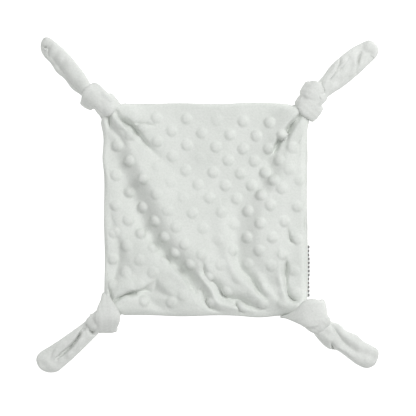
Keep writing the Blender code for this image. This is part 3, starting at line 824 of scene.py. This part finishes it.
def frontGrid():
    # the front's upper face: its own height plus the folds, which fade towards the edges, taken down
    # to the seam by a square over the turned edge, then the dots pushed out along the slope
    u, v = gridShares()
    x = u * (panel["halfWidth"] - bySide(u, front["inset"], "left", "right"))
    y = v * (panel["halfHeight"] - bySide(v, front["inset"], "bottom", "top"))
    x, y = wavyEdges(*spillEdges(*drawIn(x, y)), u, v)
    up, down, moveX, moveY = foldShape(x, y)
    fromX = (1 - np.abs(u)) * panel["halfWidth"]
    fromY = (1 - np.abs(v)) * panel["halfHeight"]
    fromEdge = np.minimum(fromX, fromY)
    fade = smoothStep(fromEdge / front["foldFade"])
    height = np.full(x.shape, front["height"])
    mouth = front["mouth"]
    for corner in corners.values():
        away = np.hypot(x - corner["neck"][0], y - corner["neck"][1])
        height = height + (mouth["height"] - height) * smoothStep(1.0 - away / mouth["reach"])
    wave = front["surfaceWave"]
    height = height + wave["size"] * waves(x, y, wave["seed"], wave["length"])
    height = height + (up - down) * fade
    height = np.maximum(height, front["low"] + front["pastLow"] * (height - front["low"]))
    rolled = np.clip(1.0 - fromEdge / front["edgeRoll"], 0.0, 1.0) ** 2
    seamHeight = np.where(fromX < fromY, bySide(u, panel["seam"], "left", "right"),
                          bySide(v, panel["seam"], "bottom", "top"))
    height = height + (seamHeight - height) * rolled
    grid = np.stack([x + moveX * fade, y + moveY * fade, height], -1)
    normals = gridNormals(grid)
    rise = dotRise(x, y, grid, normals) * smoothStep(fromEdge / dots["edgeFade"])
    return grid + normals * rise[..., None]


def makeFront(finish):
    # its inner face lies a cloth's thickness below the upper one, and no lower than its underside
    upper = frontGrid()
    normals = gridNormals(upper)
    lower = upper - normals * panel["clothThick"]
    lower[..., 2] = np.maximum(lower[..., 2], front["underside"])
    splitPanel("front", upper, lower, normals, finish, "front_panel")


def splitPanel(name, upper, lower, normals, finish, node):
    # one middle piece on the blanket and a piece at each corner
    cells = (upper.shape[0] - 1, upper.shape[1] - 1)
    cut = panel["cutCells"]
    middle = np.ones(cells, bool)
    lowerNormals = -gridNormals(lower)
    for cornerName, corner in corners.items():
        keep = np.zeros(cells, bool)
        alongX = slice(0, cut) if corner["neck"][0] < 0 else slice(cells[0] - cut, cells[0])
        alongY = slice(0, cut) if corner["neck"][1] < 0 else slice(cells[1] - cut, cells[1])
        keep[alongX, alongY] = True
        middle &= ~keep
        piece = shellBlock(name + "_" + cornerName, upper, lower, normals, lowerNormals, keep, finish)
        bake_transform(piece)
        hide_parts(node)
    piece = shellBlock(name + "_middle", upper, lower, normals, lowerNormals, middle, finish)
    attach(piece, "blanket")
    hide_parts(node)


def curlUp(share, half, low, high):
    # one way across the back, from side to side: flat, then round a quarter circle and on, back in
    # over itself up to the seam. Gives the place across and the height above the underside
    turn = math.radians(back["turn"])
    roll = (bySide(share, panel["seam"], low, high) - back["low"]) / 2
    flatPart = half + bySide(share, back["out"], low, high) - roll
    cloth = np.abs(share) * (flatPart + roll * turn)
    angle = np.clip((cloth - flatPart) / roll, 0.0, turn)
    return np.sign(share) * (np.minimum(cloth, flatPart) + roll * np.sin(angle)), roll * (1 - np.cos(angle))


def backGrid():
    # the back's outer face: flat below, its edges turned up, and lifted towards the knots
    u, v = gridShares()
    x, riseX = curlUp(u, panel["halfWidth"], "left", "right")
    y, riseY = curlUp(v, panel["halfHeight"], "bottom", "top")
    x, y = wavyEdges(*spillEdges(*drawIn(x, y)), u, v)
    rise = np.maximum(riseX, riseY)
    height = back["low"] + rise
    mouth = back["mouth"]
    for corner in corners.values():
        away = np.hypot(x - corner["neck"][0], y - corner["neck"][1])
        lifted = mouth["height"] + rise * mouth["rollShare"]
        height = height + (lifted - height) * smoothStep(1.0 - away / mouth["reach"])
    return np.stack([x, y, height], -1)


def makeBack(finish):
    # its inner face lies a cloth's thickness above the outer one
    lower = backGrid()
    normals = gridNormals(lower)
    upper = lower + normals * panel["clothThick"]
    splitPanel("back", upper, lower, normals, finish, "back_panel")


# Knots and tails: strands of the blanket's own cloth

def closedTube(rings, first, last):
    # quads round a run of rings (even number of points each), closed by a pole at each end
    count, around = rings.shape[:2]
    index = np.arange(count * around).reshape(count, around)
    turned = np.roll(index, -1, axis=1)
    faces = [np.stack([index[:-1], turned[:-1], turned[1:], index[1:]], -1).reshape(-1, 4)]
    for pole, ring in ((count * around, index[0][::-1]), (count * around + 1, index[-1])):
        poles = np.full(around // 2, pole)
        faces.append(np.stack([poles, ring[::2], ring[1::2], np.roll(ring, -2)[::2]], -1))
    return np.concatenate([rings.reshape(-1, 3), [first, last]]), facingOut(rings, np.concatenate(faces))


def closedLoop(rings):
    # quads round a run of rings that closes on itself
    count, around = rings.shape[:2]
    index = np.arange(count * around).reshape(count, around)
    onward, turned = np.roll(index, -1, axis=0), np.roll(index, -1, axis=1)
    faces = np.stack([index, turned, np.roll(onward, -1, axis=1), onward], -1).reshape(-1, 4)
    return rings.reshape(-1, 3), facingOut(rings, faces)


def facingOut(rings, faces):
    # a face near the middle ring must look away from that ring's centre
    points = rings.reshape(-1, 3)
    around = rings.shape[1]
    face = faces[(rings.shape[0] // 2) * around]
    a, b, c, d = points[face]
    outward = (a + b + c + d) / 4 - rings[rings.shape[0] // 2].mean(axis=0)
    return faces if np.dot(np.cross(c - a, d - b), outward) > 0 else faces[:, ::-1]


strand = dict(
    around=64,           # points round its section
    pleatWidth=5.0,      # gathers along the strand
    pleatDepth=0.035,    # as a share of the strand's thickness
    secondWidth=1.9,     # wider gathers among them: their width and depth as shares of the first
    secondDepth=0.6,
    drift=1.3,           # how far the gathers wander, in radians,
    driftTurn=5.0,       # and how far their wandering turns along the strand
    squareness=0.62,     # 1 is an ellipse, less is flatter with rounder sides
    seedStep=2.3,        # between the seeds of one knot's bands
    voxel=0.6,           # cell of the skin that joins a knot's strands,
    smoothing=7, softness=0.5,  # and how often and how strongly it is smoothed
)


def strandSection(halfWidth, halfThick, across, upward, seed):
    # flattened round section with gathers along it, for every place of the path at once: cosine and
    # sine to the power of the squareness, the rise times 1 plus two sets of waves across
    angle = np.linspace(0, 2 * math.pi, strand["around"], endpoint=False)
    c, s = np.cos(angle), np.sin(angle)
    flatC = np.sign(c) * np.abs(c) ** strand["squareness"]
    flatS = np.sign(s) * np.abs(s) ** strand["squareness"]
    side = halfWidth[:, None] * flatC[None, :]
    drift = strand["drift"] * np.sin(np.linspace(0, strand["driftTurn"], len(halfWidth)) + seed)
    turn = 2 * math.pi * side / strand["pleatWidth"]
    gather = np.cos(turn + drift[:, None] + seed)
    gather += strand["secondDepth"] * np.cos(turn / strand["secondWidth"] - drift[:, None] + 2 * seed)
    rise = halfThick[:, None] * flatS[None, :] * (1 + strand["pleatDepth"] * gather)
    return side[..., None] * across[:, None, :] + rise[..., None] * upward[:, None, :]


bands = dict(
    thick=4.0,           # half thickness
    underside=4.6,       # height of the part that runs below
    bulge=0.35,          # how far the ends stand out, as a share of the half thickness
    leastHalf=1.2,       # least half width
    pointsPerRun=12,
)


def bandMesh(band, seed):
    # a band over the knot: up from below at its start, across the top, down at its end and back under
    line = np.array(band["line"], float)
    top = np.column_stack([toMm(line[:, :2]), line[:, 3] - bands["thick"], line[:, 2]])
    thick = band.get("thick", bands["thick"])
    ends = top[[-1, 0]].copy()
    ends[:, 2] = (ends[:, 2] + bands["underside"]) / 2
    run = unit(ends[0, :2] - ends[1, :2])
    ends[0, :2] += run * thick * bands["bulge"]
    ends[1, :2] -= run * thick * bands["bulge"]
    under = top[[-1, 0]].copy()
    under[:, 2] = bands["underside"]
    loop = np.concatenate([top, ends[:1], under, ends[1:]])
    # two runs more at each end, cut off again, let the loop close smoothly
    more = 2 * bands["pointsPerRun"]
    smooth = smoothLine(np.concatenate([loop[-2:], loop, loop[:2]]), bands["pointsPerRun"])[more:-more - 1]
    path, halfWidth = smooth[:, :3], np.maximum(smooth[:, 3], bands["leastHalf"])
    along = unit(np.roll(path, -1, axis=0) - np.roll(path, 1, axis=0))
    across = np.tile(np.array([-run[1], run[0], 0.0]), (len(path), 1))
    upward = unit(np.cross(across, along))
    across = unit(np.cross(along, upward))
    section = strandSection(halfWidth, np.full(len(path), thick), across, upward, seed)
    return closedLoop(path[:, None, :] + section)


# The strand inside each knot: half width, half height, and how far it reaches past the tail's hinge
cores = dict(
    top_left=(9.0, 6.6, 2.5), top_right=(9.0, 6.6, 0.5),
    bottom_left=(6.6, 5.8, 0.2), bottom_right=(9.0, 6.6, 2.5),
)
coreShape = dict(
    rings=40,
    start=1.5,           # how far past the hinge at the knot's mouth it starts
    height=8.2, arch=1.4,  # of its middle line at both ends, and how much more halfway
    endPower=6, endLeast=0.02,  # how squarely it ends, and the least square of its last ring's share
    cap=0.8,             # how far it is drawn out to close at each end
)


def coreMesh(corner, core, seed):
    # the strand that runs through the knot from its mouth to the tail: its height is half a sine
    # wave over a straight line, and its width the root of 1 less a high power of the way to its ends
    halfWidth, halfHeight, past = core
    count = coreShape["rings"]
    out = np.append(corner["out"], 0.0)
    share = np.linspace(0, 1, count)
    length = np.linalg.norm(corner["root"] - corner["neck"])
    path = corner["neck"] + out * (coreShape["start"] + (length + past) * share)[:, None]
    path[:, 2] = coreShape["height"] + coreShape["arch"] * np.sin(math.pi * share)
    swell = np.sqrt(np.clip(1 - (2 * share - 1) ** coreShape["endPower"], coreShape["endLeast"], 1))
    across = np.tile(np.array([-out[1], out[0], 0.0]), (count, 1))
    upward = np.tile(np.array([0.0, 0.0, 1.0]), (count, 1))
    section = strandSection(halfWidth * swell, halfHeight * swell, across, upward, seed)
    cap = out * coreShape["cap"]
    return closedTube(path[:, None, :] + section, path[0] - cap, path[-1] + cap)


# Bands over each knot: places in the photograph's pixels, then the half width and the height of the
# top in millimetres
knots = dict(
    top_left=[
        dict(
            line=[(95.5, 89.5, 6.0, 15), (93.5, 93.5, 8.4, 18), (91, 98.5, 8.6, 17.5),
                  (88, 102.5, 6.6, 13.5)],
        ),
        dict(
            line=[(111.5, 101.5, 7.4, 12.5), (108.5, 104.5, 8.6, 16), (105, 107.5, 9.2, 16),
                  (102, 109.5, 7.4, 12)],
        ),
    ],
    top_right=[
        dict(
            line=[(307.5, 89.5, 7.4, 14), (310.5, 90.5, 9.2, 18), (313.5, 92, 9.2, 18.5),
                  (317.5, 95.5, 7.6, 17)],
        ),
        dict(
            line=[(302, 102, 5.6, 13), (305, 104, 9.4, 17), (310, 108.5, 9.8, 17), (314.5, 112, 8.4, 12)],
        ),
    ],
    bottom_left=[
        dict(
            line=[(106, 299, 4.4, 12), (107, 308, 8.8, 17), (108, 317, 11.6, 19),
                  (106.5, 326.5, 9.6, 14)],
        ),
        dict(line=[(98, 316, 3.8, 12), (96, 321, 4.8, 15), (96, 327, 4.8, 13.5)], thick=3.4),
    ],
    bottom_right=[
        dict(
            line=[(287, 316.5, 1.8, 10), (295, 316, 5.6, 14.5), (304, 314.5, 11, 18),
                  (312.5, 312.5, 13, 18.3), (320, 312, 10.6, 16.8)],
        ),
        dict(line=[(307, 321.5, 5.6, 12), (314, 324.5, 7.4, 14.5), (320, 325.5, 7.4, 13.5)], thick=3.6),
    ],
)


def joinedMesh(name, parts, finish):
    # closed meshes grown into one skin: a voxel remesh joins them and a smoothing softens the joins
    points, faces, count = [], [], 0
    for partPoints, partFaces in parts:
        points.append(partPoints)
        faces.append(partFaces + count)
        count += len(partPoints)
    rough = makeMesh(name + "_rough", np.concatenate(points), np.concatenate(faces), finish)
    remesh = rough.modifiers.new("join", "REMESH")
    remesh.mode = "VOXEL"
    remesh.voxel_size = strand["voxel"] * mm
    soften = rough.modifiers.new("soften", "SMOOTH")
    soften.factor = strand["softness"]
    soften.iterations = strand["smoothing"]
    bpy.context.view_layer.update()
    graph = bpy.context.evaluated_depsgraph_get()
    skin = bpy.data.meshes.new_from_object(rough.evaluated_get(graph))
    bpy.data.objects.remove(rough)
    skin.shade_smooth()
    skin.materials.clear()
    skin.materials.append(finish)
    made = bpy.data.objects.new(name, skin)
    bpy.context.scene.collection.objects.link(made)
    return made


def makeKnots(finish):
    # each knot is its core with its bands over it, each strand with gathers of its own
    for seed, (name, knotBands) in enumerate(knots.items()):
        parts = [coreMesh(corners[name], cores[name], seed)]
        parts += [bandMesh(band, seed + strand["seedStep"] * k) for k, band in enumerate(knotBands)]
        knot = joinedMesh(name + "_knotted", parts, finish)
        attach(knot, name + "_knot")
        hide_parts(name + "_knot")


# Tails: the two sides of each from its root to its tip, the heights of its top along it, and the
# lines pressed into or raised on it
tailShape = dict(
    rings=160, around=112,  # rings along it, and points round each
    bottom=0.5,            # height of the underside
    endRun=4.5,            # length over which each end rounds off
    endPower=2.4,          # 2 is a round end, more is squarer
    endLeast=0.002,        # keeps its last rings from closing to nothing
    sidePower=0.85,        # below 1 the sides are fuller than an ellipse's
    topPower=0.65, bottomPower=0.55,
    waist=0.36,            # height of the widest place, as a share of the whole
    lineFade=0.5,          # power of the lines' fading towards the sides
    bend=(5.0, 8.0),       # the cloth bends this far before and past the hinge
    wave=dict(size=0.35, length=11.0),
    pointsPerRun=12,
)
tails = dict(
    top_left=dict(
        one=[(101, 95), (95, 89), (89.7, 82.4), (84.8, 74), (79, 66.4), (71.4, 56.8), (63.7, 48.8),
             (56.4, 42.6), (50.5, 38), (43.5, 35.5)],
        other=[(91, 106), (85.5, 100), (80, 94.5), (71.5, 88.4), (64.1, 78.6), (56.4, 72.1), (50.3, 62.9),
               (44.5, 57), (41, 51), (39.5, 44)],
        heights=[14.5, 13, 13, 13, 12.5, 12, 10],
        lines=[
            dict(
                line=[(49, 55, -1), (54, 61, -3.5), (59.5, 68, -5), (66, 77, -5), (72, 85, -5),
                      (77.5, 90, -4.5)],
                left=[3.2, 3, 2.6], right=[15, 13, 10, 8], roundness=1.6,
            ),
            dict(
                line=[(40.5, 46, -2), (43, 53, -3), (48, 60, -0.5)],
                left=[6.5], right=[4], roundness=2.0,
            ),
            dict(line=[(44, 47, -3), (45.5, 47.3, -3)], left=[1.0], right=[1.0]),
            dict(line=[(48.5, 49, -2), (48.5, 56, -2)], left=[1.0], right=[1.0], roundness=1.2),
        ],
    ),
    top_right=dict(
        one=[(310, 92), (316, 84), (323, 76), (330, 66.4), (339.6, 57.2), (351, 48.4), (360.6, 43),
             (371, 38.5)],
        other=[(322, 106), (327, 98), (334, 92.5), (343.4, 86.6), (358.7, 74), (370, 63.3), (377, 56),
               (380, 47)],
        heights=[17.5, 15.5, 14, 13.5, 13.5, 13, 10],
        lines=[
            dict(
                line=[(361, 52.5, -1.5), (358.7, 58.5, -5), (357.8, 63, -4.5), (357, 67, -2),
                      (355.5, 73.5, -1.5)],
                left=[0.8], right=[0.9], roundness=1.2,
            ),
            dict(
                line=[(340, 57, -1.5), (339, 64, -2.4), (335.5, 71, -2.4), (329, 79.5, -1.6)],
                left=[1.0], right=[1.0], roundness=1.2,
            ),
            dict(
                line=[(349, 57.5, -0.8), (345, 63, -1.5), (339, 70, -1.4)],
                left=[0.9], right=[1.0], roundness=1.2,
            ),
            dict(
                line=[(321.5, 83, -1.5), (321.5, 88, -2), (322, 91, -5), (323, 92, -4)],
                left=[1.2], right=[1.2], roundness=1.4,
            ),
            dict(
                line=[(361.5, 44, -2), (363.5, 50.5, -4.2), (369, 54.5, -3.4)],
                left=[3.8], right=[9], roundness=1.6,
            ),
        ],
    ),
    bottom_left=dict(
        one=[(91, 311), (87, 319.5), (74.6, 329.2), (61.3, 338.6), (50, 346), (41, 351.5), (35, 357.5)],
        other=[(104, 326), (97, 335), (86.5, 345.7), (74.6, 357.3), (64, 366.5), (56.8, 372), (47, 372.5),
               (38, 368)],
        heights=[11, 12, 12, 12, 12, 12.2, 12.4],
        lines=[
            dict(
                line=[(84, 328.5, -1.5), (81, 331.5, -4), (78.5, 336, -8), (74.5, 341.5, -9),
                      (68.5, 348, -10.5), (62, 353.5, -9.5), (57, 358, -4)],
                left=[0.95], right=[0.85], roundness=1.3, shut=0.25,
            ),
            dict(line=[(90.5, 330.5, -3), (92.5, 332.5, -7)], left=[1.6], right=[1.6], roundness=1.5),
            dict(line=[(84, 329, -1.5), (88, 324, -1.8)], left=[2.2], right=[2.2]),
            dict(line=[(56, 346, -0.6), (53, 351, -1.2), (50, 358, -0.6)], left=[1.6], right=[1.6]),
        ],
    ),
    bottom_right=dict(
        one=[(318, 309), (329, 320), (339.9, 324.5), (347, 331), (357.3, 335.3), (363.5, 341),
             (371.8, 345.5), (380.5, 350.5)],
        other=[(306, 325), (312, 331.5), (320, 341.5), (328.3, 348.6), (338, 351), (349, 358.9),
               (357.5, 365), (367, 368.5), (377, 365)],
        heights=[11, 12.5, 13, 13, 12.5, 12, 9.5],
        lines=[
            dict(
                line=[(331, 325, -1.5), (336, 332, -3.4), (341.5, 340, -3.4), (347, 346, -2.6),
                      (355, 351, -2), (362, 354, -0.8)],
                left=[2.4, 3, 5], right=[1.6, 1.8, 3], roundness=1.4,
            ),
            dict(
                line=[(331.5, 343, -2.5), (332.5, 347, -7), (335, 350.5, -7)],
                left=[1.3], right=[1.3], roundness=1.2,
            ),
            dict(
                line=[(322, 333, 0.6), (334, 345, 1.0), (346, 352, 1.0), (358, 359, 0.5)],
                left=[3.0], right=[3.0],
            ),
        ],
    ),
)


def evenly(points, count):
    # a smooth line through the points, cut into steps of one length
    line = smoothLine(points, tailShape["pointsPerRun"])
    reach = np.concatenate([[0.0], np.cumsum(np.linalg.norm(np.diff(line, axis=0), axis=1))])
    at = np.linspace(0, reach[-1], count)
    return np.stack([np.interp(at, reach, line[:, k]) for k in range(line.shape[1])], -1)


def tailMesh(name, tail):
    # each ring spans the two sides of the outline: flat below and rounded above, by powers of the
    # cosine across and of the sine up and down, with the lines pressed in
    shape = tailShape
    one, other = (evenly(toMm(tail[side]), shape["rings"]) for side in ("one", "other"))
    share = np.linspace(0, 1, shape["rings"])
    middle, half = (one + other) / 2, (one - other) / 2
    length = np.linalg.norm(np.diff(middle, axis=0), axis=1).sum()
    nearEnd = np.clip(np.minimum(share, 1 - share) * length / shape["endRun"], 0, 1)
    power = shape["endPower"]
    shrink = np.maximum(1 - (1 - nearEnd) ** power, shape["endLeast"]) ** (1 / power)
    angle = np.linspace(0, 2 * math.pi, shape["around"], endpoint=False)
    c, s = np.cos(angle), np.sin(angle)
    across = np.sign(c) * np.abs(c) ** shape["sidePower"]
    places = middle[:, None, :] + half[:, None, :] * (across[None, :] * shrink[:, None])[..., None]
    x, y = places[..., 0], places[..., 1]
    top = np.interp(share, np.linspace(0, 1, len(tail["heights"])), tail["heights"])
    waist = shape["bottom"] + shape["waist"] * (top - shape["bottom"])
    upper = ((top - waist) * shrink)[:, None] * np.abs(s) ** shape["topPower"]
    lower = ((waist - shape["bottom"]) * shrink)[:, None] * np.abs(s) ** shape["bottomPower"]
    height = waist[:, None] + np.where(s > 0, upper, -lower)
    strokes = [strokeRise(x, y, line) for line in tail["lines"]]
    pressed, moveX, moveY = (sum(parts) for parts in zip(*strokes))
    onTop = np.clip(s, 0, 1) ** shape["lineFade"] * shrink[:, None]
    height = height + pressed * onTop
    wave = waves(x, y, len(name), shape["wave"]["length"])  # no two names are of one length
    height = np.maximum(height + shape["wave"]["size"] * wave * np.clip(s, 0, 1), shape["bottom"])
    rings = np.stack([x + moveX * onTop, y + moveY * onTop, height], -1)
    return closedTube(rings, rings[0].mean(axis=0), rings[-1].mean(axis=0))


def makeTails(finish):
    # each tail as one piece of cloth from its root to its tip
    for name, tail in tails.items():
        points, faces = tailMesh(name, tail)
        piece = makeMesh(name + "_tailCloth", points, faces, finish)
        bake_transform(piece)
        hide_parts(name + "_tail")


# Label: a ribbon folded into a loop, its two ends sewn into the right-hand seam
label = dict(
    fromBottom=15.5,     # of its lower end, above the square's bottom edge
    length=47.0,         # along the seam
    drop=6.0,            # from the seam down to its fold
    thick=0.32,
    seamX=91.3, top=6.7,  # where it leaves the seam
    section=[  # of the loop: across from the seam, and down from the top
        (0.0, 0.0), (0.05, 2.0), (1.02, 4.8), (1.77, 6.0), (2.18, 5.0), (0.74, 2.5), (0.3, 0.0),
    ],
    sway=[(0.18, 0.21, 0.0), (0.10, 0.53, 1.0)],  # sine waves along it: size, turn in each mm, start
    dashes=13,
    steps=80, around=40,  # sections along the seam, and points from one end of the loop to the other
)


def labelRings():
    # the loop's section, down one side and up the other, swept along the seam and swaying where it hangs
    section = np.array(label["section"])
    path = evenly(section * (1, -1) + (label["seamX"], label["top"]), label["around"])
    along = unit(np.gradient(path, axis=0))
    side = np.stack([along[:, 1], -along[:, 0]], -1) * label["thick"] / 2
    profile = np.concatenate([path - side, (path + side)[::-1]])
    y = label["fromBottom"] - panel["halfHeight"] + np.linspace(0, label["length"], label["steps"])
    sway = sum(size * np.sin(y * turn + start) for size, turn, start in label["sway"])
    hang = np.clip((label["top"] - profile[:, 1]) / label["drop"], 0, 1)
    x = profile[None, :, 0] + sway[:, None] * hang[None, :]
    return np.stack(np.broadcast_arrays(x, y[:, None], profile[None, :, 1]), -1)


def makeLabel(finish):
    # the loop's section carried along the seam, and closed at both ends of it
    rings = labelRings()
    points, faces = closedTube(rings, rings[0].mean(axis=0), rings[-1].mean(axis=0))
    piece = makeMesh("label_loop", points, faces, finish)
    # the ribbon's own map: dashes along it, and from -1 to 1 round the loop from end to end
    around = np.linspace(-1, 1, label["around"])
    across = np.tile(np.concatenate([around, around[::-1]]), label["steps"])
    along = np.repeat(np.linspace(0, label["dashes"], label["steps"]), 2 * label["around"])
    places = np.concatenate([np.column_stack([along, across]), [[0, 0], [label["dashes"], 0]]])
    layer = piece.data.uv_layers.new(name="ribbon")
    order = np.empty(len(piece.data.loops), np.int32)
    piece.data.loops.foreach_get("vertex_index", order)
    layer.data.foreach_set("uv", places[order].astype(np.float32).ravel())
    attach(piece, "label")
    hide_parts("side_label")


def dressThreads(finish):
    # the four seam threads are the CAD's own meshes, in the thread's material
    for side in panel["seam"]:
        node = frame["nodes"][side + "_seam_thread"]
        node.data.materials.clear()
        node.data.materials.append(finish)


print("camera, lamps and floor")
makeCamera()
makeLamps()
makeSky()
makeFloor()

print("plush")
dimplePlush = plushMaterial("plushDimpled")
smoothPlush = plushMaterial("plushSmooth")

print("panels")
makeFront(dimplePlush)
makeBack(smoothPlush)

print("knots")
makeKnots(smoothPlush)

print("tails")
makeTails(smoothPlush)

print("label")
makeLabel(satinMaterial())

print("seam threads")
dressThreads(threadMaterial())

bpy.context.view_layer.update()
